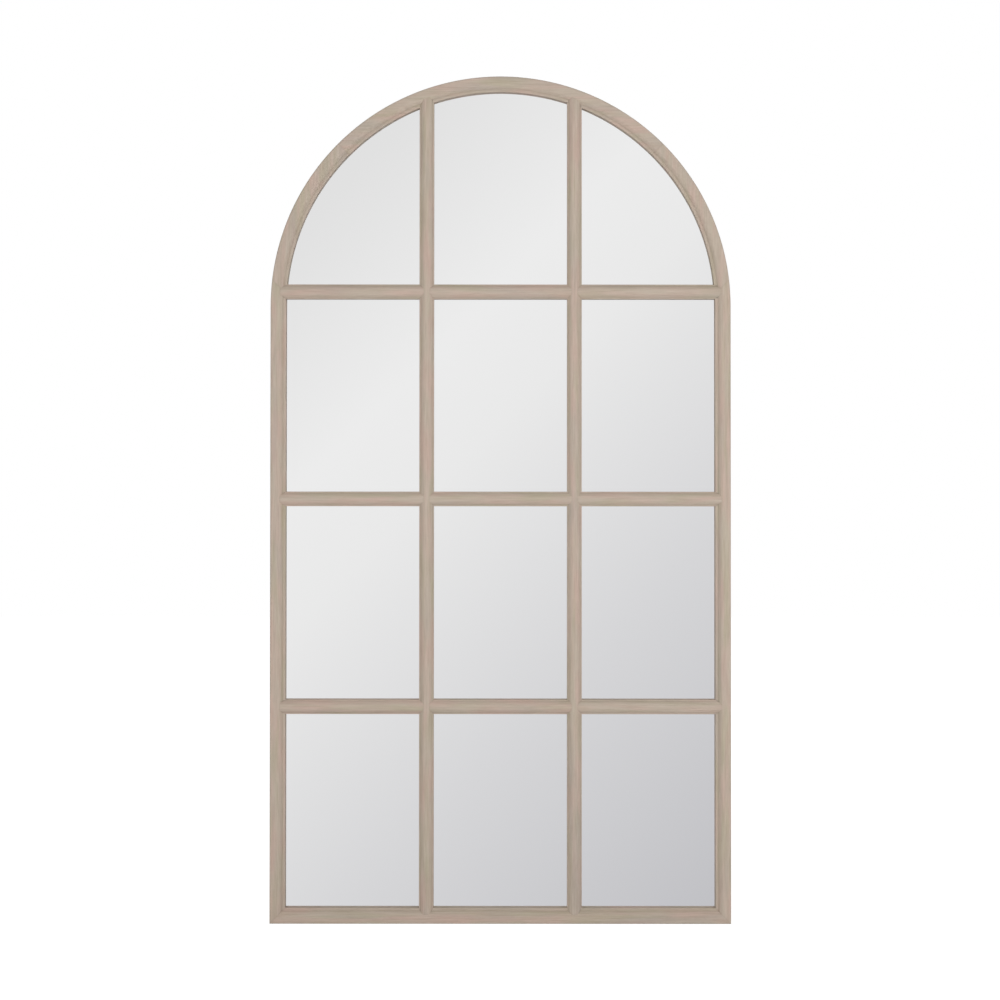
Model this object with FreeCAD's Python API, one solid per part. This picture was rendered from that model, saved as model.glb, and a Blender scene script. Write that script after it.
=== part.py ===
# Arched window mirror: a limewashed wooden frame with a half-round head, a grid of moulded
# glazing bars that makes twelve panes, one mirror sheet behind the grid, and a board at the back.
# Built standing on its bottom edge: x across, y back from the frame's front face, z up.
# The finished pieces are then moved so that the origin is the middle of the hanging line,
# in the plane of the wall.
import FreeCAD, Part
import math
import os

# Outline
overall_width = 610.0
overall_height = 1122.0
frame_depth = 22.0

# Frame moulding, measured in from the outer edge and back from the front face
frame_flat = 12.0
frame_lip = 3.8
shoulder_width = 4.6
shoulder_drop = 3.6
shoulder_bulge = 0.2
outer_chamfer = 1.2
lip_chamfer = 0.8
back_chamfer = 0.8

# Rabbet that holds the mirror, and what lies in it
seat_depth = 11.5
rabbet_width = 6.5
glass_thickness = 4.0
glass_clearance = 1.0
card_thickness = 1.0
board_thickness = 3.0
board_clearance = 0.5

# Glazing bars
muntin_flat = 7.0
muntin_lip = 1.5
top_bar_rise = 19.0
cross_bars = 3
pane_columns = 3
halving_depth = 6.0
tongue_thickness = 2.6
tongue_length = 6.0

# Joints of the arch: where they cross the head, and the dowels in them
stile_joint_angle = 5.5
crown_joint_angle = 45.0
joint_slope = 45.0
dowel_radius = 3.0
dowel_length = 30.0
dowel_inset = 7.0
dowel_depth = 13.0
dowel_clearance = 0.1
dowel_end_gap = 0.5

# Vee nails across the bottom mitres, driven from the back
nail_leg = 5.0
nail_thickness = 0.6
nail_depth = 10.0
nail_half_angle = 35.0
nail_first = 4.0
nail_pitch = 7.0

# Flat steel points that hold the board
point_length = 16.0
point_width = 6.0
point_thickness = 0.6
point_tip = 3.0
point_driven = 7.5
stile_points = 4
rail_points = 3
arch_points = 7
point_corner_gap = 110.0
arch_point_angle = 20.0

# Hangers: a folded strap that carries a wire ring
hang_drop = 16.0
hanger_inset = 7.2
strap_width = 8.0
strap_length = 42.0
strap_thickness = 1.0
strap_neck = 7.0
strap_first_hole = 19.0
strap_hole_pitch = 15.0
ring_wire_radius = 1.1
ring_wire_sides = 12
ring_fit = 0.1
ring_width = 11.4
ring_leg = 6.0
ring_corner = 1.5
ring_gap = 0.3

# Hanger screws
screw_radius = 1.6
screw_length = 12.0
screw_head_radius = 3.2
screw_head_height = 2.0
screw_clearance = 0.1

# Rubber bumpers at the foot of the back
bumper_radius = 5.0
bumper_height = 5.0
bumper_chamfer = 0.6
bumper_rise = 32.0

# How far a cutting block reaches past what it cuts
overcut = 1.0

# Worked out from the above
half_width = overall_width / 2
springing = overall_height - half_width
frame_face = frame_flat + shoulder_width + frame_lip
muntin_face = muntin_flat + 2 * (shoulder_width + muntin_lip)
muntin_half = muntin_face / 2
rabbet_wall = frame_face - rabbet_width
panes_across = overall_width - 2 * frame_face - (pane_columns - 1) * muntin_face
pane_width = panes_across / pane_columns
panes_up = springing + top_bar_rise - frame_face - (cross_bars - 0.5) * muntin_face
pane_height = panes_up / cross_bars
upright_x = (pane_width + muntin_face) / 2
nail_places = (nail_first, nail_first + nail_pitch)
strap_holes = (strap_first_hole, strap_first_hole + strap_hole_pitch)
hang_height = springing - hang_drop
board_back = seat_depth + glass_thickness + card_thickness + board_thickness
ring_axis_off = ring_wire_radius + ring_fit + strap_thickness
ring_height = ring_leg + ring_width / 2
ring_axis_z = hang_height - ring_height + ring_wire_radius
hanger_x = half_width - hanger_inset


def vec(x, y, z):
    return FreeCAD.Vector(x, y, z)


def line(a, b):
    return Part.LineSegment(a, b).toShape()


def arc(a, through, b):
    return Part.Arc(a, through, b).toShape()


def face_of(edges):
    return Part.Face(Part.Wire(Part.__sortEdges__(edges)))


def polygon(points):
    return Part.Face(Part.makePolygon(points + points[:1]))


def prism_xz(points, front, back):
    """A slab between two depths whose outline is a list of (x, z) corners."""
    return polygon([vec(x, front, z) for x, z in points]).extrude(vec(0, back - front, 0))


def mirrored(shape):
    return shape.mirror(vec(0, 0, 0), vec(1, 0, 0))


def turned(shape, degrees):
    """Turned about the middle of the arch, from the right-hand side towards the top."""
    copy = shape.copy()
    copy.rotate(vec(0, 0, springing), vec(0, -1, 0), degrees)
    return copy


# ---- sections: u runs in from the outer edge, or out from a bar's middle; d runs back ----


def moulding(at, start, lip):
    """The moulded edge: a rounded shoulder down from the flat, then a thin lip."""
    valley = start + shoulder_width
    edge = valley + lip
    chord = math.hypot(shoulder_width, shoulder_drop)
    crest_u = start + shoulder_width / 2 + shoulder_bulge * shoulder_drop / chord
    crest_d = shoulder_drop / 2 - shoulder_bulge * shoulder_width / chord
    return [
        arc(at(start, 0), at(crest_u, crest_d), at(valley, shoulder_drop)),
        line(at(valley, shoulder_drop), at(edge - lip_chamfer, shoulder_drop)),
        line(at(edge - lip_chamfer, shoulder_drop), at(edge, shoulder_drop + lip_chamfer)),
    ]


def frame_section(at):
    edges = moulding(at, frame_flat, frame_lip)
    corners = [
        (frame_face, shoulder_drop + lip_chamfer),
        (frame_face, seat_depth),
        (rabbet_wall, seat_depth),
        (rabbet_wall, frame_depth),
        (back_chamfer, frame_depth),
        (0, frame_depth - back_chamfer),
        (0, outer_chamfer),
        (outer_chamfer, 0),
        (frame_flat, 0),
    ]
    edges += [line(at(*a), at(*b)) for a, b in zip(corners, corners[1:])]
    return face_of(edges)


def muntin_section(at):
    def other_side(u, d):
        return at(-u, d)

    edges = [line(at(-muntin_flat / 2, 0), at(muntin_flat / 2, 0))]
    for side in (at, other_side):
        edges += moulding(side, muntin_flat / 2, muntin_lip)
        edges.append(
            line(side(muntin_half, shoulder_drop + lip_chamfer), side(muntin_half, seat_depth))
        )
    edges.append(line(at(-muntin_half, seat_depth), at(muntin_half, seat_depth)))
    return face_of(edges)


def arched_slab(inset, front, back):
    """The mirror's outline drawn in by inset on every side, between two depths."""
    r = half_width - inset
    edges = [
        line(vec(-r, front, springing), vec(-r, front, inset)),
        line(vec(-r, front, inset), vec(r, front, inset)),
        line(vec(r, front, inset), vec(r, front, springing)),
        arc(vec(r, front, springing), vec(0, front, springing + r), vec(-r, front, springing)),
    ]
    return face_of(edges).extrude(vec(0, back - front, 0))


# ---- frame members, before their joints are cut ----


def post():
    """The right-hand upright up to the springing, mitred at its foot."""
    section = frame_section(lambda u, d: vec(half_width - u, d, 0))
    foot = prism_xz(
        [(0, 0), (half_width, 0), (0, half_width)],
        0,
        frame_depth,
    )
    return section.extrude(vec(0, 0, springing)).cut(foot)


def turn(start, sweep):
    """A stretch of the half-round head."""
    section = frame_section(lambda u, d: vec(half_width - u, d, springing))
    stretch = section.revolve(vec(0, 0, springing), vec(0, -1, 0), sweep)
    return turned(stretch, start)


def below_stile_joint():
    """What lies under the sloping joint between an upright and the head."""
    r = half_width - dowel_inset
    x = r * math.cos(math.radians(stile_joint_angle))
    z = springing + r * math.sin(math.radians(stile_joint_angle))
    reach = 2 * frame_face
    rise = reach * math.tan(math.radians(joint_slope))
    bottom = -overcut
    corners = [
        (x - reach, bottom),
        (x + reach, bottom),
        (x + reach, z + rise),
        (x - reach, z - rise),
    ]
    return prism_xz(corners, -overcut, frame_depth + overcut)


def stile():
    whole = post().fuse(turn(0, crown_joint_angle)).removeSplitter()
    return whole.common(below_stile_joint())


def haunch():
    return turn(0, crown_joint_angle).cut(below_stile_joint())


def crown():
    return turn(crown_joint_angle, 180 - 2 * crown_joint_angle)


def rail():
    section = frame_section(lambda u, d: vec(-half_width, d, u))
    mitres = prism_xz([(-half_width, 0), (half_width, 0), (0, half_width)], 0, frame_depth)
    return section.extrude(vec(overall_width, 0, 0)).common(mitres)


# ---- glazing bars ----


def cross_height(row):
    return frame_face + (row + 1) * pane_height + (row + 0.5) * muntin_face


def tongue(x, z, half_x, half_z):
    """The thin end of a bar, lapped behind the frame's lip."""
    block = Part.makeBox(
        2 * half_x,
        tongue_thickness,
        2 * half_z,
        vec(x - half_x, seat_depth - tongue_thickness, z - half_z),
    )
    return block.common(arched_slab(frame_face - tongue_length, 0, seat_depth))


def upright_tongue(x):
    return tongue(x, overall_height / 2, muntin_half, overall_height / 2)


def cross_tongue(z):
    return tongue(0, z, half_width, muntin_half)


def scribed(bar, frame, ends):
    """A bar whose ends are cut to fit over the frame's moulding, with its tongues."""
    return bar.common(arched_slab(frame_flat, 0, seat_depth)).cut(frame).fuse(ends).removeSplitter()


def upright(x, frame):
    section = muntin_section(lambda u, d: vec(x + u, d, 0))
    bar = scribed(section.extrude(vec(0, 0, overall_height)), frame, upright_tongue(x))
    for row in range(cross_bars):
        notch = Part.makeBox(
            2 * muntin_half,
            seat_depth - halving_depth,
            2 * muntin_half,
            vec(x - muntin_half, halving_depth, cross_height(row) - muntin_half),
        )
        bar = bar.cut(notch)
    return bar


def cross(z, frame, uprights):
    section = muntin_section(lambda u, d: vec(-half_width, d, z + u))
    bar = scribed(section.extrude(vec(overall_width, 0, 0)), frame, cross_tongue(z))
    return bar.cut(uprights)


# ---- fastenings inside the frame ----


def dowel(angle, grow, longer):
    """A dowel across a joint of the head, along the curve there."""
    length = dowel_length + 2 * longer
    peg = Part.makeCylinder(
        dowel_radius + grow,
        length,
        vec(half_width - dowel_inset, dowel_depth, springing - length / 2),
        vec(0, 0, 1),
    )
    return turned(peg, angle)


def joint_angles():
    right = [stile_joint_angle, crown_joint_angle]
    return right + [180 - angle for angle in right]


def vee_nail(place):
    """A bent steel nail that straddles the right-hand bottom mitre."""
    half = nail_thickness / 2
    legs = []
    for side in (-1, 1):
        leg = Part.makeBox(
            nail_leg,
            nail_depth,
            nail_thickness,
            vec(0, frame_depth - nail_depth, -half),
        )
        leg.rotate(vec(0, 0, 0), vec(0, 1, 0), -(135 + side * nail_half_angle))
        legs.append(leg)
    nail = legs[0].fuse(legs[1]).removeSplitter()
    along = place / math.sqrt(2)
    nail.translate(vec(half_width - along, 0, along))
    return nail


def corner_nails():
    right = [vee_nail(place) for place in nail_places]
    return right + [mirrored(nail) for nail in right]


def flat_point():
    """One point on the right-hand side at height 0: driven end outwards, flat on the board."""
    wall = half_width - rabbet_wall
    inner = wall + point_driven - point_length
    outer = wall + point_driven
    half = point_width / 2
    outline = [
        (inner, -half),
        (outer - point_tip, -half),
        (outer, 0),
        (outer - point_tip, half),
        (inner, half),
    ]
    return prism_xz(outline, board_back, board_back + point_thickness)


def spread(first, last, count):
    step = (last - first) / (count - 1)
    return [first + i * step for i in range(count)]


def framers_points():
    points = []
    top = ring_axis_z - max(strap_holes) - point_corner_gap / 2
    for z in spread(point_corner_gap, top, stile_points):
        side = flat_point()
        side.translate(vec(0, 0, z))
        points += [side, mirrored(side)]
    reach = half_width - point_corner_gap
    for x in spread(-reach, reach, rail_points):
        low = flat_point()
        low.rotate(vec(0, 0, 0), vec(0, 1, 0), 90)
        low.translate(vec(x, 0, half_width))
        points.append(low)
    for angle in spread(arch_point_angle, 180 - arch_point_angle, arch_points):
        high = flat_point()
        high.translate(vec(0, 0, springing))
        points.append(turned(high, angle))
    return points


# ---- hangers ----


def strap():
    """Steel strip folded round the ring's bar and screwed down through both layers."""
    eye_radius = ring_axis_off
    layers = 2 * strap_thickness
    back = frame_depth
    axis = vec(0, back + ring_axis_off, 0)
    left = vec(-strap_width / 2, 0, 0)
    across = vec(strap_width, 0, 0)
    lean = math.atan2(ring_axis_off + eye_radius - layers, strap_neck)
    shape = Part.makeCylinder(eye_radius, strap_width, axis + left, vec(1, 0, 0))
    neck = [
        vec(0, back, 0),
        axis + vec(0, eye_radius * math.cos(lean), eye_radius * math.sin(lean)),
        vec(0, back + layers, -strap_neck),
        vec(0, back + layers, -strap_length),
        vec(0, back, -strap_length),
    ]
    shape = shape.fuse(polygon([p + left for p in neck]).extrude(across)).removeSplitter()
    shape = shape.cut(
        Part.makeCylinder(
            ring_wire_radius + ring_fit, strap_width, axis + left, vec(1, 0, 0)
        )
    )
    end = strap_width / 2
    round_end = Part.makeCylinder(
        end, 2 * eye_radius, vec(0, back, end - strap_length), vec(0, 1, 0)
    )
    body = Part.makeBox(
        strap_width,
        2 * eye_radius,
        strap_length + eye_radius - end,
        vec(-end, back, end - strap_length),
    )
    shape = shape.common(round_end.fuse(body))
    for hole in strap_holes:
        shape = shape.cut(
            Part.makeCylinder(
                screw_radius + screw_clearance, layers, vec(0, back, -hole), vec(0, 1, 0)
            )
        )
    return shape


def ring_lean():
    """How far the raised ring leans in until it lies on the frame's back, in degrees."""
    drop = ring_axis_off - ring_wire_radius - ring_gap
    return math.degrees(math.asin(drop / ring_height))


def wire_section(x, z):
    """The wire's section, level, drawn with many small flats so that its bends stay light."""
    step = 2 * math.pi / ring_wire_sides
    corners = []
    for i in range(ring_wire_sides):
        across = ring_wire_radius * math.cos(i * step)
        corners.append(vec(x + across, ring_wire_radius * math.sin(i * step), z))
    return polygon(corners)


def ring():
    """Bent wire: a round bar that turns in the strap, two bends, two legs and a half-round bow."""
    half = ring_width / 2
    bar = half - ring_corner
    shape = Part.makeCylinder(ring_wire_radius, 2 * bar, vec(-bar, 0, 0), vec(1, 0, 0))
    foot = wire_section(half, ring_corner)
    leg = foot.extrude(vec(0, 0, ring_leg - ring_corner))
    bend = foot.revolve(vec(bar, 0, ring_corner), vec(0, 1, 0), 90)
    bow = wire_section(half, ring_leg).revolve(vec(0, 0, ring_leg), vec(0, -1, 0), 180)
    shape = shape.fuse([bow, leg, bend, mirrored(leg), mirrored(bend)]).removeSplitter()
    shape.rotate(vec(0, 0, 0), vec(1, 0, 0), ring_lean())
    shape.translate(vec(0, frame_depth + ring_axis_off, 0))
    return shape


def strap_screw(hole):
    head_seat = frame_depth + 2 * strap_thickness
    start = vec(0, head_seat - screw_length, -hole)
    shank = Part.makeCylinder(screw_radius, screw_length, start, vec(0, 1, 0))
    head = Part.makeCylinder(
        screw_head_radius, screw_head_height, vec(0, head_seat, -hole), vec(0, 1, 0)
    )
    return shank.fuse(head)


def screw_hole(hole):
    head_seat = frame_depth + 2 * strap_thickness
    return Part.makeCylinder(
        screw_radius + screw_clearance,
        screw_length,
        vec(0, head_seat - screw_length, -hole),
        vec(0, 1, 0),
    )


def at_hanger(shape, side):
    copy = shape.copy()
    copy.translate(vec(side * hanger_x, 0, ring_axis_z))
    return copy


# ---- bumpers ----


def bumper(side):
    """A soft stud stuck to the back of an upright, just above the bottom corner."""
    stud = Part.makeCylinder(
        bumper_radius,
        bumper_height,
        vec(side * hanger_x, frame_depth, bumper_rise),
        vec(0, 1, 0),
    )
    rim = [edge for edge in stud.Edges if edge.BoundBox.YMin > frame_depth + bumper_height / 2]
    return stud.makeChamfer(bumper_chamfer, rim)


# ---- the whole ----


def build():
    bare = {
        "stile_left": mirrored(stile()),
        "stile_right": stile(),
        "arch_left": mirrored(haunch()),
        "arch_crown": crown(),
        "arch_right": haunch(),
        "bottom_rail": rail(),
    }
    frame = list(bare.values())
    uprights = {
        "muntin_upright_left": upright(-upright_x, frame),
        "muntin_upright_right": upright(upright_x, frame),
    }
    heights = [cross_height(row) for row in range(cross_bars)]
    names = ["muntin_cross_bottom", "muntin_cross_middle", "muntin_cross_top"]
    crosses = {
        name: cross(z, frame, list(uprights.values())) for name, z in zip(names, heights)
    }
    nails = corner_nails()
    points = framers_points()
    pockets = [upright_tongue(-upright_x), upright_tongue(upright_x)]
    pockets += [cross_tongue(z) for z in heights]
    pockets += [dowel(angle, dowel_clearance, dowel_end_gap) for angle in joint_angles()]
    pockets += nails + points
    for side in (-1, 1):
        pockets += [at_hanger(screw_hole(hole), side) for hole in strap_holes]
    parts = {name: member.cut(pockets) for name, member in bare.items()}
    parts.update(uprights)
    parts.update(crosses)

    glass_inset = rabbet_wall + glass_clearance
    glass_back = seat_depth + glass_thickness
    card_back = glass_back + card_thickness
    parts["mirror_glass"] = arched_slab(glass_inset, seat_depth, glass_back)
    parts["card_liner"] = arched_slab(glass_inset, glass_back, card_back)
    parts["backing_board"] = arched_slab(rabbet_wall + board_clearance, card_back, board_back)

    parts["arch_dowels"] = Part.makeCompound([dowel(angle, 0, 0) for angle in joint_angles()])
    parts["corner_vee_nails"] = Part.makeCompound(nails)
    parts["framers_points"] = Part.makeCompound(points)
    screws = []
    for word, side in (("left", -1), ("right", 1)):
        screws += [at_hanger(strap_screw(hole), side) for hole in strap_holes]
        parts["hanger_strap_" + word] = at_hanger(strap(), side)
        parts["hanger_ring_" + word] = at_hanger(ring(), side)
        parts["wall_bumper_" + word] = bumper(side)
    parts["hanger_screws"] = Part.makeCompound(screws)
    return parts


os.makedirs("parts", exist_ok=True)
to_wall = vec(0, -(frame_depth + bumper_height), -hang_height)
for name, shape in build().items():
    shape.translate(to_wall)
    shape.exportStep("parts/" + name + ".step")
    box = shape.BoundBox
    print(
        f"{name}: {len(shape.Solids)} solid, valid {shape.isValid()}, {shape.Volume:.0f} mm3,",
        f"x {box.XMin:.1f} {box.XMax:.1f}, y {box.YMin:.1f} {box.YMax:.1f},",
        f"z {box.ZMin:.1f} {box.ZMax:.1f}",
    )
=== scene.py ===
import math
import random

import bmesh
import bpy
from mathutils import Matrix, Vector


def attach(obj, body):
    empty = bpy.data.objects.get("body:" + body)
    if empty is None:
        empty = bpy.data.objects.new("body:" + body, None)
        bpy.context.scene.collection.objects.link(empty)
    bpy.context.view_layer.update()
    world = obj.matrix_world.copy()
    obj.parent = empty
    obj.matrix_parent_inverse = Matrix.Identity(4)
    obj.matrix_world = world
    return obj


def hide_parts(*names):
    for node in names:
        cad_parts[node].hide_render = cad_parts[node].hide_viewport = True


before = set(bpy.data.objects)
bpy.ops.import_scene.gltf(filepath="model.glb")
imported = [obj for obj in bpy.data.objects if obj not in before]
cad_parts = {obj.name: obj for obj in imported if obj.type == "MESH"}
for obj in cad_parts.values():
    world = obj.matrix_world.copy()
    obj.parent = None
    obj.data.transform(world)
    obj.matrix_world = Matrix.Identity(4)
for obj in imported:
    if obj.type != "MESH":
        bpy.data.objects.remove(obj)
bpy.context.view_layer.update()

# ---- Stiles -------------------------------------------------------------------------------
# The two uprights of the frame are limewashed softwood, run through a moulder to a broad
# flat, a rounded shoulder and a thin lip over the mirror. They are glued: mitred to the rail
# at the foot, and butted to the head on a slanting joint.

# sizes are millimetres, up to the studio: x to the right, y back to the wall and z up
HALF_WIDTH, BOTTOM, SPRINGING = 305.0, -801.0, 16.0
FRONT, BACK = -27.0, -5.0
FRAME_FLAT, FRAME_FACE, RABBET_WALL, SEAT = 12.0, 20.4, 13.9, 11.5
SHOULDER_WIDTH, SHOULDER_DROP, SHOULDER_BULGE = 4.6, 3.6, 0.2
OUTER_ROUND, LIP_ROUND, BACK_ROUND = 1.9, 0.8, 0.8
# how deep the painted shade lies on the lip's face, in the foot beside it and at the seat
LIP_FOOT, LIP_PAINTED_SHADE, FOOT_PAINTED_SHADE = 0.8, 0.1, 0.6
WALL_MIDDLE, SEAT_PAINTED_SHADE, WASHED_EDGE = 7.5, 0.3, 3
# a corner's third value above nothing is painted shade in the moulding's hollows; one below
# nothing stands for wood that the wash barely reached, or never did
FRAYED, BARE = -0.3, -1
FLAT_PARTS, OUTER_STEPS, SHOULDER_STEPS, LIP_STEPS = 4, 6, 9, 4


def quarter(cx, cy, r, first, last, steps):
    """Points on an arc about (cx, cy), from one angle to another in degrees."""
    turn = [math.radians(first + (last - first) * i / steps) for i in range(steps + 1)]
    return [(cx + r * math.cos(a), cy + r * math.sin(a)) for a in turn]


def shoulder():
    """The rounded shoulder from the flat's edge, as (inwards, back, painted shade), the painted
    shade deepening towards its foot.
    """
    chord = math.hypot(SHOULDER_WIDTH, SHOULDER_DROP)
    points = []
    for i in range(SHOULDER_STEPS + 1):
        t = i / SHOULDER_STEPS
        lift = SHOULDER_BULGE * 4 * t * (1 - t) / chord
        points.append((
            t * SHOULDER_WIDTH + lift * SHOULDER_DROP,
            t * SHOULDER_DROP - lift * SHOULDER_WIDTH,
            t ** 3,
        ))
    return points


def lip(face):
    """The rounded front edge of the lip, on a member that reaches out to face."""
    edge = face - LIP_ROUND
    return quarter(edge, SHOULDER_DROP + LIP_ROUND, LIP_ROUND, 270, 360, LIP_STEPS)


def frame_profile():
    """The frame's section, (u, d, shade) at each corner: u inwards from the outer edge, d back
    from the front, and shade the painted shade there, which below nothing marks bare wood instead."""
    depth = BACK - FRONT
    outer = quarter(OUTER_ROUND, OUTER_ROUND, OUTER_ROUND, 180, 270, OUTER_STEPS)
    points = [(u, d, 0) for u, d in outer]
    points += [(FRAME_FLAT * k / FLAT_PARTS, 0, 0) for k in range(1, FLAT_PARTS)]
    points += [(FRAME_FLAT + u, d, g) for u, d, g in shoulder()]
    points += [(FRAME_FLAT + SHOULDER_WIDTH + LIP_FOOT, SHOULDER_DROP, FOOT_PAINTED_SHADE)]
    points += [(u, d, LIP_PAINTED_SHADE) for u, d in lip(FRAME_FACE)]
    points += [(FRAME_FACE, WALL_MIDDLE, 0), (FRAME_FACE, SEAT, SEAT_PAINTED_SHADE)]
    points += [(RABBET_WALL, SEAT, BARE), (RABBET_WALL, depth, BARE)]
    points += [(BACK_ROUND, depth, BARE), (0, depth - BACK_ROUND, FRAYED)]
    points += [(0, depth - WASHED_EDGE, 0)]
    return points


def nodes_for(material):
    """An empty node tree, and a maker of linked nodes in it."""
    material.use_nodes = True
    tree = material.node_tree
    tree.nodes.clear()

    def add(kind, inputs=None, **settings):
        node = tree.nodes.new(kind)
        for key, value in settings.items():
            setattr(node, key, value)
        for key, value in (inputs or {}).items():
            if isinstance(value, bpy.types.NodeSocket):
                tree.links.new(value, node.inputs[key])
            else:
                node.inputs[key].default_value = value
        return node

    return add


def paint(red, green, blue):
    """A colour as it looks on a screen, 0 to 255, as Blender's linear colour."""
    linear = []
    for c in (red, green, blue):
        c /= 255
        linear.append(c / 12.92 if c <= 0.04045 else ((c + 0.055) / 1.055) ** 2.4)
    return (*linear, 1.0)


def blended(add, share, under, over):
    """Two colours mixed by a share."""
    mix = add("ShaderNodeMix", data_type="RGBA")
    tree = mix.id_data
    for key, value in ((0, share), (6, under), (7, over)):
        if isinstance(value, bpy.types.NodeSocket):
            tree.links.new(value, mix.inputs[key])
        else:
            mix.inputs[key].default_value = value
    return mix.outputs[2]


def remapped(add, value, low, high, to_low, to_high):
    """A value carried from one range to another, and held within it."""
    node = add("ShaderNodeMapRange", {
        "Value": value, "From Min": low, "From Max": high, "To Min": to_low, "To Max": to_high,
    })
    return node.outputs["Result"]


def calculated(add, how, *values):
    """The result of one step of arithmetic."""
    return add("ShaderNodeMath", dict(enumerate(values)), operation=how).outputs[0]


def surfaced(add, inputs):
    """The surface itself, on the material's output."""
    shader = add("ShaderNodeBsdfPrincipled", inputs)
    add("ShaderNodeOutputMaterial", {"Surface": shader.outputs[0]})


def stretched_noise(add, grain, scale, detail, rough=0.5, distortion=0.0):
    """Noise in the wood's own axes: (along the grain, across it, through it)."""
    placed = add("ShaderNodeMapping", {"Vector": grain, "Scale": scale})
    noise = add("ShaderNodeTexNoise", {
        "Vector": placed.outputs[0], "Scale": 1.0, "Detail": detail, "Roughness": rough,
        "Distortion": distortion,
    })
    return noise.outputs["Fac"]


def limewashed_wood():
    """Pale greige limewash rubbed into fine straight grain, with painted shade darkening the
    moulding's foot and hollows.
    """
    material = bpy.data.materials.new("limewashed_wood")
    add = nodes_for(material)
    grain = add("ShaderNodeAttribute", attribute_name="grain").outputs["Vector"]
    seam = add("ShaderNodeAttribute", attribute_name="seam").outputs["Fac"]
    shade_and_bare = add("ShaderNodeAttribute", attribute_name="shade_and_bare").outputs["Fac"]

    rosy = stretched_noise(add, grain, (15, 80, 80), 1.5)
    mossy = stretched_noise(add, grain, (12, 90, 110), 1.5, distortion=0.3)
    cloudy = stretched_noise(add, grain, (7, 45, 45), 2)
    streak = stretched_noise(add, grain, (24, 620, 620), 4, 0.6)
    fibre = stretched_noise(add, grain, (60, 2600, 2600), 3, 0.6)
    pore = stretched_noise(add, grain, (160, 3400, 3400), 2, 0.7)

    colour = blended(
        add, remapped(add, rosy, 0.40, 0.66, 0, 1), paint(187, 173, 158), paint(193, 170, 157)
    )
    colour = blended(add, remapped(add, mossy, 0.48, 0.70, 0, 0.75), colour, paint(178, 169, 147))
    colour = blended(add, remapped(add, cloudy, 0.52, 0.75, 0, 0.6), colour, paint(173, 163, 154))
    colour = blended(add, remapped(add, streak, 0.50, 0.72, 0, 0.42), colour, paint(157, 141, 125))
    colour = blended(add, remapped(add, streak, 0.48, 0.28, 0, 0.36), colour, paint(203, 191, 177))
    colour = blended(add, remapped(add, fibre, 0.50, 0.75, 0, 0.35), colour, paint(150, 134, 118))
    colour = blended(add, remapped(add, pore, 0.66, 0.74, 0, 0.5), colour, paint(126, 110, 95))

    # bare wood behind the wash's ragged edge, painted shade in the moulding's hollows, and filler
    # in the joints, whose dark line deepens in the painted shade
    unwashed = calculated(add, "ADD", calculated(add, "MULTIPLY", shade_and_bare, -1), cloudy)
    bare = remapped(add, unwashed, 0.8, 1.05, 0, 1)
    shade_and_bare = calculated(add, "MAXIMUM", shade_and_bare, 0.0)
    raw = blended(
        add, remapped(add, streak, 0.35, 0.65, 0, 1), paint(219, 194, 156), paint(190, 156, 114)
    )
    # painted shade: the foot, lip and seat darkened towards a dull brown
    colour = blended(add, calculated(add, "MULTIPLY", shade_and_bare, 0.30), colour, paint(139, 126, 109))
    colour = blended(add, bare, colour, raw)
    filler_and_shade = calculated(add, "MULTIPLY_ADD", shade_and_bare, 0.15, 0.13)
    colour = blended(add, calculated(add, "MULTIPLY", seam, filler_and_shade), colour, paint(112, 95, 80))

    coarse = calculated(add, "MULTIPLY", streak, 0.6)
    height = calculated(add, "ADD", coarse, calculated(add, "MULTIPLY", fibre, 0.4))
    bump = add("ShaderNodeBump", {"Height": height, "Strength": 0.35, "Distance": 0.0004})
    dull = remapped(add, streak, 0.3, 0.7, 0.58, 0.72)
    surfaced(add, {
        "Base Color": colour, "Roughness": dull, "Normal": bump.outputs[0],
        "Specular IOR Level": 0.3,
    })
    return material


wood = limewashed_wood()
CREASE = math.radians(32)
WELD = 0.000002


def soft_shaded(piece):
    """Smooth shading that breaks at the piece's creases."""
    piece.data.shade_smooth()
    piece.data.set_sharp_from_angle(angle=CREASE)


def new_piece(name, points, faces, material, marks=()):
    """A mesh piece from millimetre points. Points that fall on each other are welded, and its
    faces are turned outwards. marks are the values kept at its points."""
    mesh = bpy.data.meshes.new(name)
    mesh.from_pydata([[c * 0.001 for c in p] for p in points], [], faces)
    for key, kind, field, values in marks:
        mesh.attributes.new(key, kind, "POINT").data.foreach_set(field, values)
    shell = bmesh.new()
    shell.from_mesh(mesh)
    bmesh.ops.remove_doubles(shell, verts=shell.verts, dist=WELD)
    bmesh.ops.recalc_face_normals(shell, faces=shell.faces)
    if shell.calc_volume(signed=True) < 0:
        bmesh.ops.reverse_faces(shell, faces=shell.faces)
    shell.to_mesh(mesh)
    shell.free()
    mesh.materials.append(material)
    piece = bpy.data.objects.new(name, mesh)
    bpy.context.scene.collection.objects.link(piece)
    soft_shaded(piece)
    return piece


def placed(piece, node, body, slot):
    """The piece stands for a node and moves with a body. slot is not used."""
    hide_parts(node)
    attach(piece, body)


def joined(rings):
    """The points of all the rings in one list."""
    return [point for ring in rings for point in ring]


def bridged(rings, closed=False):
    """Faces that join rings of equally many points, with an end face at each open end."""
    n = len(rings[0])
    faces = []
    count = len(rings)
    for i in range(count if closed else count - 1):
        a, b = i * n, ((i + 1) % count) * n
        faces += [(a + j, a + (j + 1) % n, b + (j + 1) % n, b + j) for j in range(n)]
    if not closed:
        faces += [tuple(range(n)), tuple(range((count - 1) * n, count * n))]
    return faces


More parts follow.
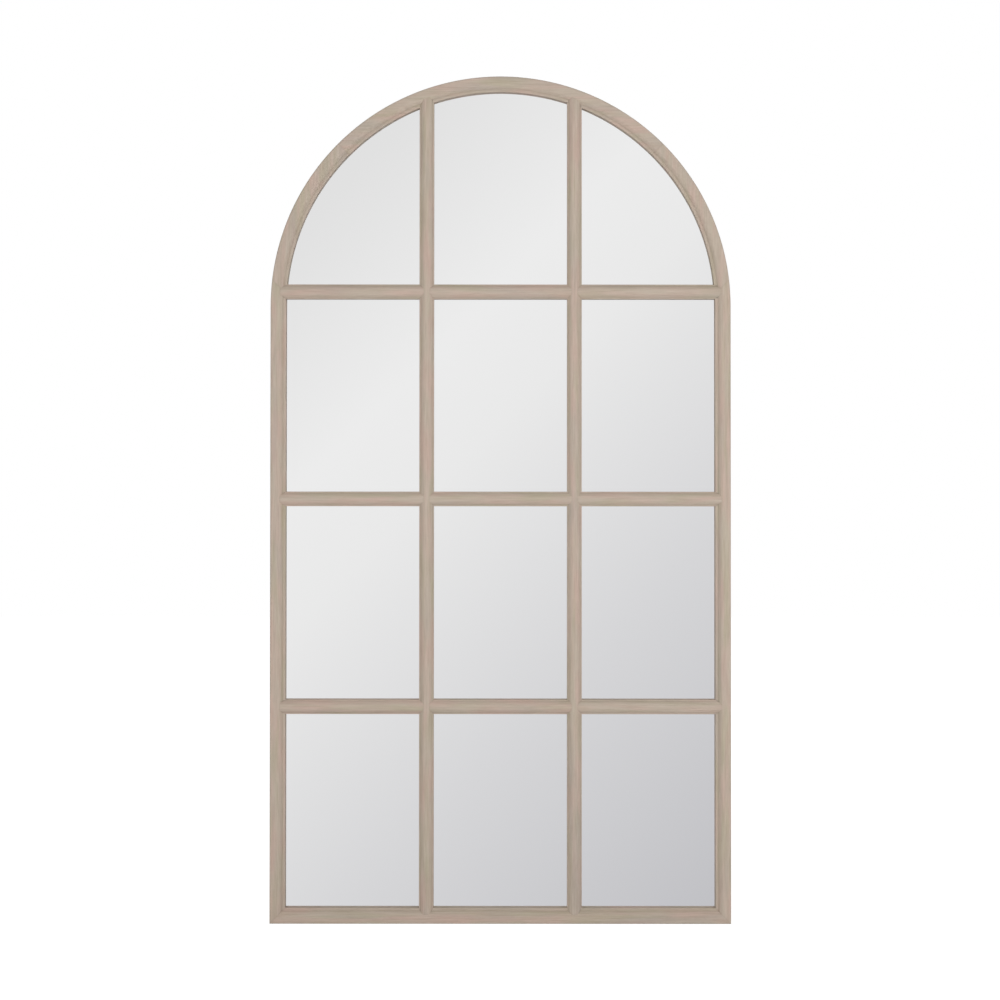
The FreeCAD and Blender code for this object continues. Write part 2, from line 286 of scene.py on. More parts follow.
def wooden(name, node, profile, stations, along, board):
    """A wooden member: one ring of points for each station, (seam, [(x, y, z), ...]).
    along is the axis that its grain follows, 0 for x and 2 for z, and board is the number
    of the board it is sawn from, which settles where its clouds and streaks fall."""
    sawn = random.Random(board)
    shift = [sawn.uniform(-4, 4) for _ in range(3)]
    # grain, joint lines, and each corner's painted shade, which below nothing marks bare wood,
    # kept at the points
    grain, seam, shade_and_bare = [], [], []
    others = [i for i in (0, 2) if i != along]
    for near, ring in stations:
        for (x, y, z), corner in zip(ring, profile):
            p = (x * 0.001, y * 0.001, z * 0.001)
            grain += [p[along] + shift[0], p[others[0]] + shift[1], p[1] + shift[2]]
            seam.append(near)
            shade_and_bare.append(corner[2])
    rings = [ring for _, ring in stations]
    piece = new_piece(name, joined(rings), bridged(rings), wood, (
        ("grain", "FLOAT_VECTOR", "vector", grain),
        ("seam", "FLOAT", "value", seam),
        ("shade_and_bare", "FLOAT", "value", shade_and_bare),
    ))
    placed(piece, node, "frame", "limewashed_wood")


# how far in from a joint the rings lie, with how dark the joint's line still is there
JOINT_STEPS = ((0.0, 1.0), (0.3, 0.9), (0.9, 0.4), (2.2, 0.1), (4.5, 0.0))
EASED = 0.05
FOOT_RINGS, POST_STEP, ARC_STEP = 30.0, 24.0, 1.5
STILE_JOINT_ANGLE, DOWEL_INSET = 5.5, 7.0
TOP_SHARES = (0.25, 0.5, 0.72)


def end_stations(profile, place, steps=JOINT_STEPS):
    """The rings by a joint. place puts a corner of the section, (u, d, ...), where it belongs
    at a step in from the joint. The ring on the joint itself is drawn in a little at the
    front, so that the joint shows as a fine groove."""
    stations = []
    for step, near in steps:
        ease = EASED if step == 0 else 0
        stations.append((near, [
            place(step, u, d + ease if d < SEAT / 2 else d, *rest) for u, d, *rest in profile
        ]))
    return stations


def on_arch(side, u, d, angle):
    """A point of the head: u in from the outer edge, d back, at an angle above level."""
    r = HALF_WIDTH - u
    return (side * r * math.cos(angle), FRONT + d, SPRINGING + r * math.sin(angle))


def stile_joint(u):
    """The angle at which the slanting joint crosses the head, u in from the outer edge."""
    r = HALF_WIDTH - DOWEL_INSET
    at = math.radians(STILE_JOINT_ANGLE)
    level = r * (math.sin(at) - math.cos(at)) / (HALF_WIDTH - u)
    return math.radians(45) + math.asin(level / math.sqrt(2))


def stile(side):
    """From the mitre up the straight, and a little way round the head."""
    profile = frame_profile()
    stations = end_stations(profile, lambda step, u, d, _: (
        side * (HALF_WIDTH - u), FRONT + d, BOTTOM + u + step
    ))
    z = BOTTOM + FOOT_RINGS
    while z < SPRINGING - POST_STEP / 2:
        stations.append((0, [(side * (HALF_WIDTH - u), FRONT + d, z) for u, d, _ in profile]))
        z += POST_STEP
    stations.append((0, [on_arch(side, u, d, 0) for u, d, _ in profile]))
    for share in TOP_SHARES:
        stations.append((0, [on_arch(side, u, d, share * stile_joint(u)) for u, d, _ in profile]))
    return stations + end_stations(profile, lambda step, u, d, _: (
        on_arch(side, u, d, stile_joint(u) - step / HALF_WIDTH)
    ), JOINT_STEPS[::-1])


for word, side, board in (("left", -1, 161), ("right", 1, 222)):
    wooden("stile_" + word + "_moulded", "stile_" + word, frame_profile(), stile(side), 2, board)

# ---- Head ---------------------------------------------------------------------------------
# The half-round head is three curved pieces of the same moulding, bandsawn from straight
# boards: two haunches whose grain stands upright and a crown whose grain lies level. They
# are butted on glued and dowelled joints, at 45 degrees either side of the top.

CROWN_JOINT = math.radians(45)


def curved_stations(side, start, end):
    """Rings round the head between two joints, each given as the angle at a depth u."""
    profile = frame_profile()
    stations = end_stations(profile, lambda step, u, d, _: (
        on_arch(side, u, d, start(u) + step / HALF_WIDTH)
    ))
    sweep = math.degrees(end(0) - start(0))
    count = int(sweep / ARC_STEP)
    for i in range(1, count):
        share = i / count
        stations.append((0, [
            on_arch(side, u, d, start(u) * (1 - share) + end(u) * share) for u, d, _ in profile
        ]))
    return stations + end_stations(profile, lambda step, u, d, _: (
        on_arch(side, u, d, end(u) - step / HALF_WIDTH)
    ), JOINT_STEPS[::-1])


for word, side, board in (("left", -1, 143), ("right", 1, 44)):
    haunch = curved_stations(side, stile_joint, lambda u: CROWN_JOINT)
    wooden("arch_" + word + "_moulded", "arch_" + word, frame_profile(), haunch, 2, board)

crown = curved_stations(1, lambda u: CROWN_JOINT, lambda u: math.pi - CROWN_JOINT)
CROWN_BOARD = 25
wooden("arch_crown_moulded", "arch_crown", frame_profile(), crown, 0, CROWN_BOARD)

# ---- Bottom rail --------------------------------------------------------------------------
# The foot of the frame is one more length of the moulding, with level grain. It is mitred
# into both stiles, glued, and held by two bent nails in each corner at the back.

RAIL_STEP, RAIL_SLACK, RAIL_BOARD = POST_STEP * 50 / 53, 1, 146


def rail():
    """From one mitre level across to the other."""
    profile = frame_profile()
    stations = end_stations(profile, lambda step, u, d, _: (
        -HALF_WIDTH + u + step, FRONT + d, BOTTOM + u
    ))
    x = -HALF_WIDTH + FOOT_RINGS
    while x < HALF_WIDTH - FOOT_RINGS + RAIL_SLACK:
        stations.append((0, [(x, FRONT + d, BOTTOM + u) for u, d, _ in profile]))
        x += RAIL_STEP
    return stations + end_stations(profile, lambda step, u, d, _: (
        HALF_WIDTH - u - step, FRONT + d, BOTTOM + u
    ), JOINT_STEPS[::-1])


wooden("bottom_rail_moulded", "bottom_rail", frame_profile(), rail(), 0, RAIL_BOARD)

# ---- Upright glazing bars -----------------------------------------------------------------
# Two thin bars with the frame's shoulder on both sides run from the rail to the head. Their
# ends are scribed over the frame's moulding and lapped behind its lip, and they are notched
# at the back to let the cross bars through.

BAR_FLAT, BAR_LIP, HALVING = 3.5, 1.5, 6.0
BAR_HALF = BAR_FLAT + SHOULDER_WIDTH + BAR_LIP
UPRIGHT_X = 98.067
CROSS_Z = (BOTTOM + 285.867, BOTTOM + 560.933, BOTTOM + 836.0)
NOTCH_GAP, HEAD_GAP = 2, 12


def bar_profile():
    """The bar's section: u from its middle, d back, painted shade, and how far in from the frame's
    outer edge that point meets the frame's moulding."""
    half = [(BAR_FLAT + u, d, g, FRAME_FLAT + u) for u, d, g in shoulder()]
    half += [(u, d, LIP_PAINTED_SHADE, FRAME_FACE - BAR_HALF + u) for u, d in lip(BAR_HALF)]
    half += [(BAR_HALF, HALVING, 0, FRAME_FACE), (BAR_HALF, SEAT, SEAT_PAINTED_SHADE, FRAME_FACE)]
    left = [(-u, d, g, v) for u, d, g, v in reversed(half)]
    return left + [(0, 0, 0, FRAME_FLAT)] + half


def upright(x):
    """From the rail to the head, past the three cross bars."""
    profile = bar_profile()

    def head(u, v):
        """The height at which a corner of the bar meets the head."""
        return SPRINGING + math.sqrt((HALF_WIDTH - v) ** 2 - (x + u) ** 2)

    stations = end_stations(profile, lambda step, u, d, _, v: (
        x + u, FRONT + d, BOTTOM + v + step
    ))
    z = BOTTOM + FOOT_RINGS
    for level in (*CROSS_Z, None):
        if level is None:
            end = head(0, FRAME_FACE) - HEAD_GAP
        else:
            end = level - BAR_HALF - NOTCH_GAP
        while z < end:
            stations.append((0, [(x + u, FRONT + d, z) for u, d, _, _ in profile]))
            z += POST_STEP
        if level is None:
            break
        for at, cut in ((-1, False), (-1, True), (1, True), (1, False)):
            stations.append((0, [
                (x + u, FRONT + (min(d, HALVING) if cut else d), level + at * BAR_HALF)
                for u, d, _, _ in profile
            ]))
        z = level + BAR_HALF + POST_STEP / 2
    return stations + end_stations(profile, lambda step, u, d, _, v: (
        x + u, FRONT + d, head(u, v) - step
    ), JOINT_STEPS[::-1])


for word, side, board in (("left", -1, 67), ("right", 1, 208)):
    name = "muntin_upright_" + word
    wooden(name + "_moulded", name, bar_profile(), upright(side * UPRIGHT_X), 2, board)

# ---- Cross glazing bars -------------------------------------------------------------------
# Three level bars of the same section cross the uprights. In front they are scribed to the
# uprights' shoulders, and their back halves run through the notches there in one length.

STILE_GAP, SCRIBE_GAP = 14, 8


def frame_edge(z, v):
    """Half the frame's width at a height, measured to a line v in from the outer edge."""
    rise = max(0.0, z - SPRINGING)
    return math.sqrt((HALF_WIDTH - v) ** 2 - rise ** 2)


def cross(z):
    """From stile to stile, past the two uprights."""
    profile = bar_profile()
    stations = end_stations(profile, lambda step, u, d, _, v: (
        step - frame_edge(z + u, v), FRONT + d, z + u
    ))
    x = -HALF_WIDTH + FRAME_FACE + STILE_GAP
    for place in (-UPRIGHT_X, UPRIGHT_X, None):
        if place is None:
            end = HALF_WIDTH - FRAME_FACE - STILE_GAP
        else:
            end = place - BAR_HALF - SCRIBE_GAP
        while x < end:
            stations.append((0, [(x, FRONT + d, z + u) for u, d, _, _ in profile]))
            x += POST_STEP
        if place is None:
            break
        for side in (-1, 1):
            near_upright = end_stations(profile, lambda step, u, d, *_: (
                place + side * (max(abs(u), BAR_FLAT) + step), FRONT + d, z + u
            ), JOINT_STEPS[::-1])
            near_upright.append((0, [
                (place + side * BAR_HALF, FRONT + max(d, HALVING), z + u)
                for u, d, _, _ in profile
            ]))
            stations += near_upright if side < 0 else near_upright[::-1]
        x = place + BAR_HALF + POST_STEP / 2
    return stations + end_stations(profile, lambda step, u, d, _, v: (
        frame_edge(z + u, v) - step, FRONT + d, z + u
    ), JOINT_STEPS[::-1])


for word, z, board in zip(("bottom", "middle", "top"), CROSS_Z, (69, 130, 71)):
    name = "muntin_cross_" + word
    wooden(name + "_moulded", name, bar_profile(), cross(z), 0, board)

# ---- Mirror -------------------------------------------------------------------------------
# One sheet of 4 mm float glass, silvered behind, lies in the rabbet against the lips of the
# frame and bars. The grid in front of it only makes it look like twelve panes.

SHEET_INSET, GLASS, GLASS_EDGE = 14.9, 4.0, 0.4
ARCH_POINTS = 120


def silver():
    """Clean silvered glass: a bright cool mirror."""
    material = bpy.data.materials.new("silvered_glass")
    surfaced(nodes_for(material), {
        "Base Color": paint(253, 253, 253), "Metallic": 1.0, "Roughness": 0.006,
    })
    return material


def arch_outline(inset, y):
    """The frame's outline drawn in by inset, as points from the right foot round the head."""
    r = HALF_WIDTH - inset
    points = [(r, y, BOTTOM + inset)]
    for i in range(ARCH_POINTS + 1):
        a = math.pi * i / ARCH_POINTS
        points.append((r * math.cos(a), y, SPRINGING + r * math.sin(a)))
    return points + [(-r, y, BOTTOM + inset)]


def arched_sheet(name, node, inset, front, thickness, edge, material, slot):
    """A flat sheet cut to the arch, with its edges dressed by a small bevel."""
    back = front + thickness
    rings = [
        arch_outline(inset + edge, front),
        arch_outline(inset, front + edge),
        arch_outline(inset, back - edge),
        arch_outline(inset + edge, back),
    ]
    sheet = new_piece(name, joined(rings), bridged(rings), material)
    placed(sheet, node, "frame", slot)


glass_front = FRONT + SEAT
arched_sheet(
    "mirror_sheet", "mirror_glass", SHEET_INSET, glass_front, GLASS, GLASS_EDGE, silver(),
    "silvered_glass",
)

# ---- Card liner ---------------------------------------------------------------------------
# A sheet of grey card between the silvering and the board keeps grit off the mirror's paint.
# It is cut with the glass and only lies there.

CARD, CARD_EDGE = 1.0, 0.1


def fleck(add, scale, detail, **more):
    """Even noise through a piece, as fine as scale says."""
    place = add("ShaderNodeTexCoord").outputs["Object"]
    noise = add("ShaderNodeTexNoise", {"Vector": place, "Scale": scale, "Detail": detail, **more})
    return noise.outputs["Fac"]


def grey_card():
    """Grey pulp board with darker flecks, quite dull."""
    material = bpy.data.materials.new("grey_card")
    add = nodes_for(material)
    pulp = remapped(add, fleck(add, 900, 3), 0.4, 0.7, 0, 1)
    colour = blended(add, pulp, paint(150, 146, 138), paint(118, 113, 105))
    surfaced(add, {"Base Color": colour, "Roughness": 0.92})
    return material


arched_sheet(
    "liner_sheet", "card_liner", SHEET_INSET, glass_front + GLASS, CARD, CARD_EDGE, grey_card(),
    "grey_card",
)

# ---- Backing board ------------------------------------------------------------------------
# 3 mm tempered hardboard fills the rabbet behind the mirror, smooth side out. It is a warm
# brown with a fine fibrous fleck, and it is sawn a little smaller than its opening.

BOARD, BOARD_EDGE, BOARD_CLEARANCE = 3.0, 0.3, 0.5


def hardboard():
    """Pressed brown fibre, faintly clouded, with darker and paler fibres."""
    material = bpy.data.materials.new("hardboard")
    add = nodes_for(material)
    cloud = remapped(add, fleck(add, 9, 4), 0.35, 0.65, 0, 1)
    fibre = fleck(add, 800, 5, Roughness=0.65, Distortion=0.3)
    colour = blended(add, cloud, paint(150, 115, 84), paint(143, 108, 78))
    colour = blended(add, remapped(add, fibre, 0.5, 0.78, 0, 0.5), colour, paint(96, 68, 46))
    colour = blended(add, remapped(add, fibre, 0.45, 0.25, 0, 0.4), colour, paint(178, 143, 108))
    bump = add("ShaderNodeBump", {"Height": fibre, "Strength": 0.12, "Distance": 0.0002})
    surfaced(add, {"Base Color": colour, "Roughness": 0.6, "Normal": bump.outputs[0]})
    return material


arched_sheet(
    "board_sheet", "backing_board", RABBET_WALL + BOARD_CLEARANCE, glass_front + GLASS + CARD,
    BOARD, BOARD_EDGE, hardboard(), "hardboard",
)

# ---- Framer's points and corner nails -----------------------------------------------------
# Flat steel points are pressed into the rabbet's wall every few centimetres and lie on the
# board to hold it in. Two bent steel nails are driven across each bottom mitre.

POINT_EDGE, NAIL_EDGE, SHARP = 0.12, 0.08, math.radians(35)


def plain_steel():
    """Cold-rolled steel, a little scuffed."""
    material = bpy.data.materials.new("plain_steel")
    add = nodes_for(material)
    rub = fleck(add, 1500, 3)
    worn = remapped(add, rub, 0.35, 0.7, 0, 1)
    surfaced(add, {
        "Base Color": blended(add, worn, paint(176, 174, 170), paint(132, 128, 122)),
        "Metallic": 1.0, "Roughness": remapped(add, rub, 0.3, 0.7, 0.3, 0.5),
    })
    return material


def finished(node, material, edge):
    """A CAD piece whose shape is right, in its real finish and with its edges eased, in mm."""
    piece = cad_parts[node]
    piece.data.materials.clear()
    piece.data.materials.append(material)
    easing = piece.modifiers.new("eased_edges", "BEVEL")
    easing.width, easing.segments = edge * 0.001, 2
    easing.limit_method, easing.angle_limit = "ANGLE", SHARP


steel = plain_steel()
finished("framers_points", steel, POINT_EDGE)
finished("corner_vee_nails", steel, NAIL_EDGE)

# ---- Dowels -------------------------------------------------------------------------------
# Fluted beech pegs, 6 mm thick, glued into both halves of each joint of the head. They are
# wholly inside the wood.

DOWEL_EDGE = 0.5


def beech():
    """Pinkish beech with its small dark flecks."""
    material = bpy.data.materials.new("beech_dowel")
    add = nodes_for(material)
    rays = remapped(add, fleck(add, 700, 4), 0.4, 0.7, 0, 1)
    colour = blended(add, rays, paint(214, 176, 132), paint(186, 142, 98))
    surfaced(add, {"Base Color": colour, "Roughness": 0.7})
    return material


finished("arch_dowels", beech(), DOWEL_EDGE)

# ---- Hanger straps ------------------------------------------------------------------------
# A strip of bright zinc-plated steel is folded double round the ring's bar on each side, and
# both layers are screwed to the back of the stile just below the head.

HANGER_X, RING_AXIS_Z, RING_AXIS_OFF = 297.8, -10.6, 2.2
STRAP_HALF, STRAP_LENGTH, STRIP, STRAP_NECK = 4.0, 42.0, 1.0, 7.0
STRIP_HALF, STRIP_EDGE = 0.48, 0.18
SCREW_DROPS, SCREW_RADIUS, DRILL_PLAY, DRILL_SIDES = (19.0, 34.0), 1.6, 0.1, 32
# where the strip's middle line has its points: angles round the end, heights, and shares
ROUND_END = (80, 66, 52, 38, 22, 8, 0)
BACK_LAYER, FRONT_LAYER = (-28, -18, -9, -3), (-18, -28)
EYE_STEPS, NECK_SHARES, NECK_LIFT, NECK_RUN = 16, (0.3, 0.6, 0.88), 0.05, 0.9


def zinc_plate():
    """Bright zinc: a cool metal with faint cloudy spangle and fine handling marks."""
    material = bpy.data.materials.new("zinc_plated_steel")
    add = nodes_for(material)
    cloud, mark = fleck(add, 240, 3), fleck(add, 2400, 2)
    spangle = remapped(add, cloud, 0.35, 0.65, 0, 1)
    bump = add("ShaderNodeBump", {"Height": mark, "Strength": 0.15, "Distance": 0.0001})
    surfaced(add, {
        "Base Color": blended(add, spangle, paint(206, 209, 212), paint(178, 181, 186)),
        "Metallic": 1.0, "Normal": bump.outputs[0],
        "Roughness": remapped(add, cloud, 0.3, 0.7, 0.24, 0.4),
    })
    return material


zinc = zinc_plate()


def at_hanger(side, x, y, z):
    """A point given from the frame's back at the ring's axis, x to the right, y to the wall."""
    return (side * HANGER_X + x, BACK + y, RING_AXIS_Z + z)


def strap_line():
    """The strip's middle line, (y, z, half width): up the back layer from its round end, over
    the ring's bar, and down the front layer."""
    near, far = STRIP / 2, STRIP * 3 / 2
    round_end = [
        (STRAP_HALF - STRAP_LENGTH - STRAP_HALF * math.sin(t), STRAP_HALF * math.cos(t))
        for t in map(math.radians, ROUND_END)
    ]
    line = [(near, z, w) for z, w in round_end]
    line += [(near, z, STRAP_HALF) for z in BACK_LAYER]
    eye = RING_AXIS_OFF - STRIP / 2
    reach = math.hypot(RING_AXIS_OFF - far, STRAP_NECK)
    leave = math.acos(eye / reach) - math.atan2(STRAP_NECK, far - RING_AXIS_OFF)
    for i in range(EYE_STEPS + 1):
        a = math.pi + (leave - math.pi) * i / EYE_STEPS
        line.append((RING_AXIS_OFF + eye * math.cos(a), eye * math.sin(a), STRAP_HALF))
    foot_y, foot_z, _ = line[-1]
    for share in NECK_SHARES:
        y = foot_y + (far - foot_y) * share
        line.append((y, foot_z + (-STRAP_NECK - foot_z) * share, STRAP_HALF))
    line += [(far + NECK_LIFT, -STRAP_NECK, STRAP_HALF)]
    line += [(far, z, STRAP_HALF) for z in (-STRAP_NECK - NECK_RUN, *FRONT_LAYER)]
    return line + [(far, z, w) for z, w in reversed(round_end)]


def cut_from(piece, cutter):
    """The cutter's shape taken out of the piece for good."""
    cut = piece.modifiers.new("cut", "BOOLEAN")
    cut.object, cut.solver = cutter, "EXACT"
    evaluated = piece.evaluated_get(bpy.context.evaluated_depsgraph_get())
    whole, piece.data = piece.data, bpy.data.meshes.new_from_object(evaluated)
    piece.modifiers.clear()
    bpy.data.meshes.remove(whole)
    bpy.data.objects.remove(cutter)
    soft_shaded(piece)


def turned(profile, sides):
    """Rings of points round the y axis, one for each (radius, y)."""
    return [
        [
            (r * math.cos(2 * math.pi * i / sides), y, r * math.sin(2 * math.pi * i / sides))
            for i in range(sides)
        ]
        for r, y in profile
    ]


def strap(word, side):
    """The folded strip with its eased edges, drilled for its two screws."""
    line = strap_line()
    rings = []
    for i, (y, z, half) in enumerate(line):
        before, after = line[max(i - 1, 0)], line[min(i + 1, len(line) - 1)]
        along = Vector((after[0] - before[0], after[1] - before[1])).normalized()
        across = (-along[1], along[0])
        edge = min(STRIP_EDGE, half / 2)
        rings.append([
            at_hanger(side, x, y + across[0] * t, z + across[1] * t)
            for x, t in (
                (half - edge, STRIP_HALF), (half, STRIP_HALF - edge),
                (half, edge - STRIP_HALF), (half - edge, -STRIP_HALF),
                (edge - half, -STRIP_HALF), (-half, edge - STRIP_HALF),
                (-half, STRIP_HALF - edge), (edge - half, STRIP_HALF),
            )
        ])
    name = "hanger_strap_" + word
    piece = new_piece(name + "_folded", joined(rings), bridged(rings), zinc)
    radius = SCREW_RADIUS + DRILL_PLAY
    for drop in SCREW_DROPS:
        drill = turned(((radius, -STRIP), (radius, 3 * STRIP)), DRILL_SIDES)
        hole = [at_hanger(side, x, y, z - drop) for x, y, z in joined(drill)]
        cut_from(piece, new_piece("drill", hole, bridged(drill), zinc))
    placed(piece, name, "frame", "zinc_plated_steel")


for word, side in (("left", -1), ("right", 1)):
    strap(word, side)

# ---- Hanger rings -------------------------------------------------------------------------
# Each ring is 2.2 mm zinc-plated wire, bent to a D: a bar that turns in the folded strap, two
# short legs and a round bow. It swings up to take a hook and falls flat against the strap.

RING_HALF, RING_LEG, RING_BEND, RING_WIRE, RING_GAP = 5.7, 6.0, 1.5, 1.1, 0.3
WIRE_SIDES, BEND_STEPS, BOW_STEPS, BAR_SHARES = 20, 8, 30, (0, 0.5, 0.95)


def ring_line():
    """The wire's middle line with its direction, (x, z, dx, dz), from the middle of the bar."""
    straight = RING_HALF - RING_BEND
    half = [(straight * share, 0, 1, 0) for share in BAR_SHARES]
    for i in range(BEND_STEPS + 1):
        a = math.radians(-90 + 90 * i / BEND_STEPS)
        x, z = straight + RING_BEND * math.cos(a), RING_BEND + RING_BEND * math.sin(a)
        half.append((x, z, -math.sin(a), math.cos(a)))
    half.append((RING_HALF, (RING_BEND + RING_LEG) / 2, 0, 1))
    bow = []
    for i in range(BOW_STEPS + 1):
        a = math.pi * i / BOW_STEPS
        x, z = RING_HALF * math.cos(a), RING_LEG + RING_HALF * math.sin(a)
        bow.append((x, z, -math.sin(a), math.cos(a)))
    return half + bow + [(-x, z, dx, -dz) for x, z, dx, dz in half[:0:-1]]


def ring(word, side):
    """The round wire along its line, leaning towards the stile as it does at rest."""
    lean = math.asin((RING_AXIS_OFF - RING_WIRE - RING_GAP) / (RING_LEG + RING_HALF))
    rings = []
    for x, z, dx, dz in ring_line():
        section = []
        for i in range(WIRE_SIDES):
            a = 2 * math.pi * i / WIRE_SIDES
            px = x - dz * RING_WIRE * math.cos(a)
            pz = z + dx * RING_WIRE * math.cos(a)
            py = RING_WIRE * math.sin(a)
            section.append(at_hanger(
                side, px, RING_AXIS_OFF + py * math.cos(lean) - pz * math.sin(lean),
                py * math.sin(lean) + pz * math.cos(lean),
            ))
        rings.append(section)
    name = "hanger_ring_" + word
    piece = new_piece(name + "_bent", joined(rings), bridged(rings, closed=True), zinc)
    placed(piece, name, "ring_" + word, "zinc_plated_steel")


for word, side in (("left", -1), ("right", 1)):
    ring(word, side)

# ---- Hanger screws ------------------------------------------------------------------------
# Four zinc-plated steel wood screws, 3.2 mm thick and 12 mm long, are driven through the
# straps into the stiles, two in each. Their pan heads have a cross recess.

HEAD = (
    (0.5, 2.0), (1.9, 1.96), (2.5, 1.8), (2.95, 1.45), (3.17, 1.0), (3.2, 0.7), (3.2, 0.15),
    (3.08, 0.0), (1.35, 0.0),
)
CORE, THREAD, PITCH, SCREW_LENGTH, SCREW_SIDES = 1.2, 0.4, 1.4, 12.0, 28
SHANK_RINGS, RUN_IN, POINT_RINGS, POINT_BLUNTNESS, THREAD_SHARPNESS = 48, 5, 9, 0.6, 2.2
# the cross's arms, (half length, half width, height), at its mouth and at its floor
RECESS = ((1.75, 0.42, 2.2), (0.6, 0.26, 0.7))


def screw():
    """One screw, its head standing on y = 0: a turned head and a threaded, pointed shank."""
    rings = turned(HEAD, SCREW_SIDES)
    for k in range(1, SHANK_RINGS + 1):
        y = -SCREW_LENGTH * k / SHANK_RINGS
        taper = min(1.0, (SHANK_RINGS - k + POINT_BLUNTNESS) / POINT_RINGS)
        shank = []
        for i in range(SCREW_SIDES):
            place = (y / PITCH + i / SCREW_SIDES) % 1
            rise = max(0.0, 1 - abs(2 * place - 1) * THREAD_SHARPNESS)
            r = (CORE + THREAD * rise * min(1, k / RUN_IN)) * taper
            a = 2 * math.pi * i / SCREW_SIDES
            shank.append((r * math.cos(a), y, r * math.sin(a)))
        rings.append(shank)
    piece = new_piece("screw", joined(rings), bridged(rings), zinc)
    outlines = []
    for long, wide, y in RECESS:
        arm = [(long, -wide), (long, wide), (wide, wide)]
        outline = []
        for _ in range(4):
            outline += [(x, y, z) for x, z in arm]
            arm = [(-z, x) for x, z in arm]
        outlines.append(outline)
    cut_from(piece, new_piece("recess", joined(outlines), bridged(outlines), zinc))
    return piece


one = screw()
shell = bmesh.new()
SCREW_TURNS = 7
turns = random.Random(SCREW_TURNS)
for side in (-1, 1):
    for drop in SCREW_DROPS:
        settled = len(shell.verts)
        shell.from_mesh(one.data)
        shell.verts.ensure_lookup_table()
        x, y, z = at_hanger(side, 0, 2 * STRIP, -drop)
        place = Matrix.Translation((x * 0.001, y * 0.001, z * 0.001))
        place @= Matrix.Rotation(turns.uniform(0, math.pi / 2), 4, "Y")
        bmesh.ops.transform(shell, matrix=place, verts=shell.verts[settled:])
driven = bpy.data.meshes.new("hanger_screws_driven")
screws = bpy.data.objects.new("hanger_screws_driven", driven)
shell.to_mesh(driven)
shell.free()
driven.materials.append(zinc)
bpy.data.objects.remove(one)
bpy.context.scene.collection.objects.link(screws)
soft_shaded(screws)
placed(screws, "hanger_screws", "frame", "zinc_plated_steel")

# ---- Wall bumpers -------------------------------------------------------------------------
# Two studs moulded from soft black rubber, 10 mm across, are glued to the foot of the
# stiles' backs. They keep the frame off the wall, and level with its hangers.

BUMPER = (
    (4.7, 0.0), (5.0, 0.3), (5.0, 2.4), (4.93, 3.1), (4.7, 3.8), (4.25, 4.4), (3.6, 4.78),
    (2.8, 4.95), (1.8, 5.0), (0.4, 5.0),
)
BUMPER_RISE, BUMPER_SIDES = 32.0, 40


def soft_rubber():
    """Dull black rubber with a trace of dust."""
    material = bpy.data.materials.new("soft_rubber")
    add = nodes_for(material)
    dust = remapped(add, fleck(add, 1200, 3), 0.4, 0.75, 0, 1)
    colour = blended(add, dust, paint(42, 42, 43), paint(70, 69, 67))
    surfaced(add, {"Base Color": colour, "Roughness": 0.72})
    return material


rubber = soft_rubber()
stud = turned(BUMPER, BUMPER_SIDES)
for word, side in (("left", -1), ("right", 1)):
    name = "wall_bumper_" + word
    points = [
        (side * HANGER_X + x, BACK + y, BOTTOM + BUMPER_RISE + z) for x, y, z in joined(stud)
    ]
    piece = new_piece(name + "_moulded", points, bridged(stud), rubber)
    placed(piece, name, "frame", "soft_rubber")

# ---- Studio -------------------------------------------------------------------------------
# A pale floor under the mirror's foot, a soft light in front, one behind, and a plain white
# surround whose far side, which the mirror shows, fades gently to grey. Sizes are metres.

scene = bpy.context.scene
scene.view_settings.view_transform = "Standard"

FLOOR_REACH, FLOOR_GAP, FLOOR_GLOW, FLOOR_SHARE = 6.0, 0.0002, 1.12, 0.9
floor_mesh = bpy.data.meshes.new("studio_floor")
floor_z = BOTTOM * 0.001 - FLOOR_GAP
floor_mesh.from_pydata(
    [(x, y, floor_z) for x, y in (
        (-FLOOR_REACH, -FLOOR_REACH), (FLOOR_REACH, -FLOOR_REACH),
        (FLOOR_REACH, FLOOR_REACH), (-FLOOR_REACH, FLOOR_REACH),
    )],
    [], [(0, 1, 2, 3)],
)
floor = bpy.data.objects.new("studio_floor", floor_mesh)
scene.collection.objects.link(floor)
floor.visible_glossy = False
floor_paint = bpy.data.materials.new("studio_white")
add = nodes_for(floor_paint)
plain = add("ShaderNodeBsdfDiffuse", {"Color": paint(250, 250, 250)})
glow = add("ShaderNodeEmission", {"Color": (1, 1, 1, 1), "Strength": FLOOR_GLOW})
path = add("ShaderNodeLightPath").outputs
seen = calculated(add, "MULTIPLY", path["Is Camera Ray"], FLOOR_SHARE)
both = add("ShaderNodeMixShader", {0: seen, 1: plain.outputs[0], 2: glow.outputs[0]})
add("ShaderNodeOutputMaterial", {"Surface": both.outputs[0]})
floor_mesh.materials.append(floor_paint)

AMBIENT = 0.36
world = bpy.data.worlds.new("studio_surround")
scene.world = world
add = nodes_for(world)
direction = add("ShaderNodeSeparateXYZ", {0: add("ShaderNodeTexCoord").outputs["Generated"]})
slant = calculated(add, "SUBTRACT", direction.outputs["X"], direction.outputs["Z"])
fade = add("ShaderNodeValToRGB", {0: remapped(add, slant, -0.5, 0.5, 0, 1)})
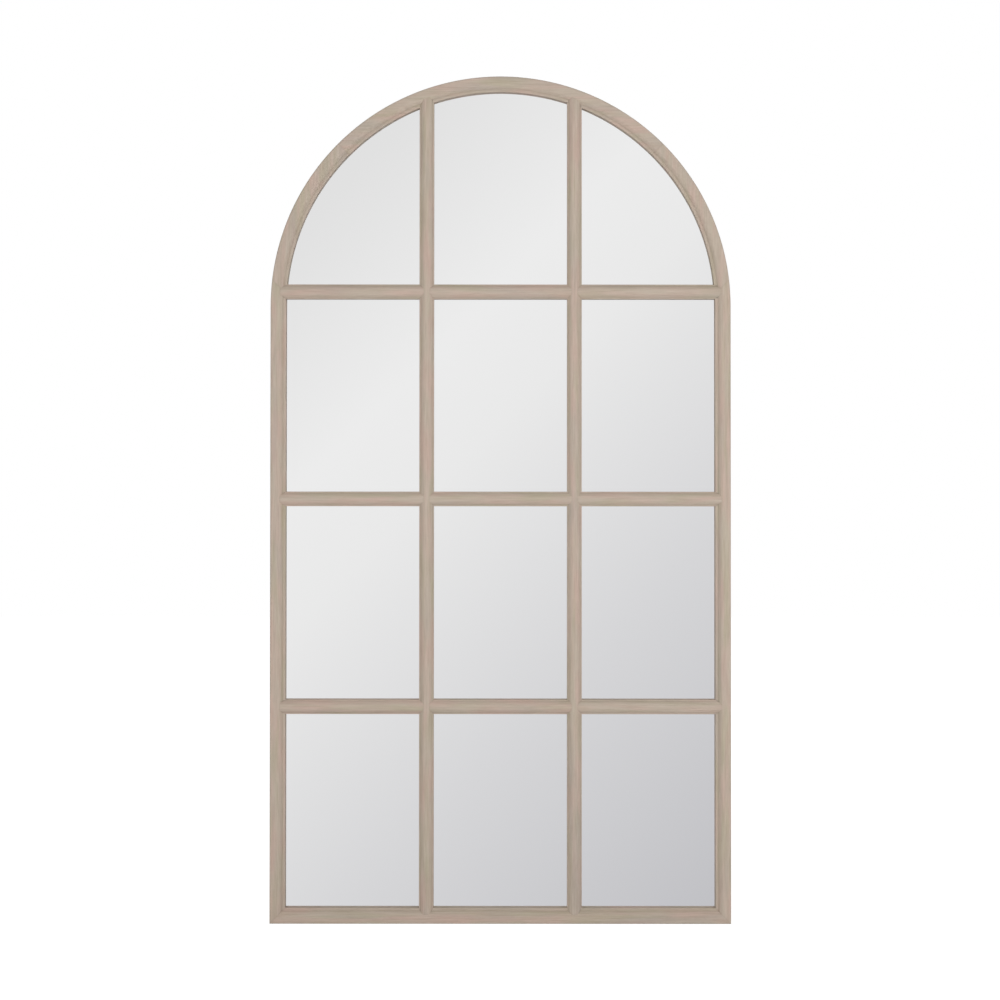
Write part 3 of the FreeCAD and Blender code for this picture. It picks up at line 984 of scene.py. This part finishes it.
# the surround's greys, each at its place along the slant
FADE = (
    (-0.346, (219, 219, 219)), (-0.187, (227, 227, 227)), (-0.076, (238, 238, 238)),
    (-0.016, (235, 235, 235)), (0.13, (215, 215, 217)), (0.285, (194, 194, 198)),
    (0.404, (184, 184, 190)),
)
stops = fade.color_ramp.elements
while len(stops) < len(FADE):
    stops.new(0.5)
for stop, (place, colour) in zip(stops, FADE):
    stop.position = place + 0.5
    stop.color = paint(*colour)
path = add("ShaderNodeLightPath").outputs
mirrored = calculated(add, "MAXIMUM", path["Is Glossy Ray"], path["Is Transmission Ray"])
shade = blended(add, mirrored, (AMBIENT, AMBIENT, AMBIENT, 1), fade.outputs[0])
shade = blended(add, path["Is Camera Ray"], shade, (1, 1, 1, 1))
sky = add("ShaderNodeBackground", {"Color": shade, "Strength": 1.0})
add("ShaderNodeOutputWorld", {"Surface": sky.outputs[0]})


def softbox(name, place, target, width, height, power):
    """A rectangular soft light that looks at a target."""
    lamp = bpy.data.lights.new(name, "AREA")
    lamp.shape, lamp.size, lamp.size_y, lamp.energy = "RECTANGLE", width, height, power
    holder = bpy.data.objects.new(name, lamp)
    holder.location = place
    aim = Vector(target) - Vector(place)
    holder.rotation_mode = "QUATERNION"
    holder.rotation_quaternion = aim.to_track_quat("-Z", "Y")
    scene.collection.objects.link(holder)
    return holder


key = softbox("key_softbox", (0.25, -1.9, 0.15), (0, 0, -0.15), 2.2, 1.4, 25.3)
key.visible_glossy = key.visible_camera = False
softbox("back_softbox", (0.8, 2.4, 1.4), (0, 0, -0.2), 1.6, 1.2, 46)

# the camera stands three metres off, a little left of the middle and just above half the
# mirror's height, with its picture shifted a little to the photograph's framing
CAMERA_PLACE = (-0.0112, -3.027, -0.195)
CAMERA_PITCH, CAMERA_ROLL = math.radians(0.81), math.radians(-0.032)
camera_data = bpy.data.cameras.new("camera")
camera_data.sensor_width, camera_data.lens = 36.0, 81.56
camera_data.shift_x, camera_data.shift_y = 0.0079, -0.0670
camera = bpy.data.objects.new("camera", camera_data)
level = Matrix.Rotation(math.radians(90), 4, "X")
leaned = Matrix.Rotation(CAMERA_PITCH, 4, "X") @ Matrix.Rotation(CAMERA_ROLL, 4, "Y")
camera.matrix_world = Matrix.Translation(CAMERA_PLACE) @ leaned @ level
scene.collection.objects.link(camera)
scene.camera = camera
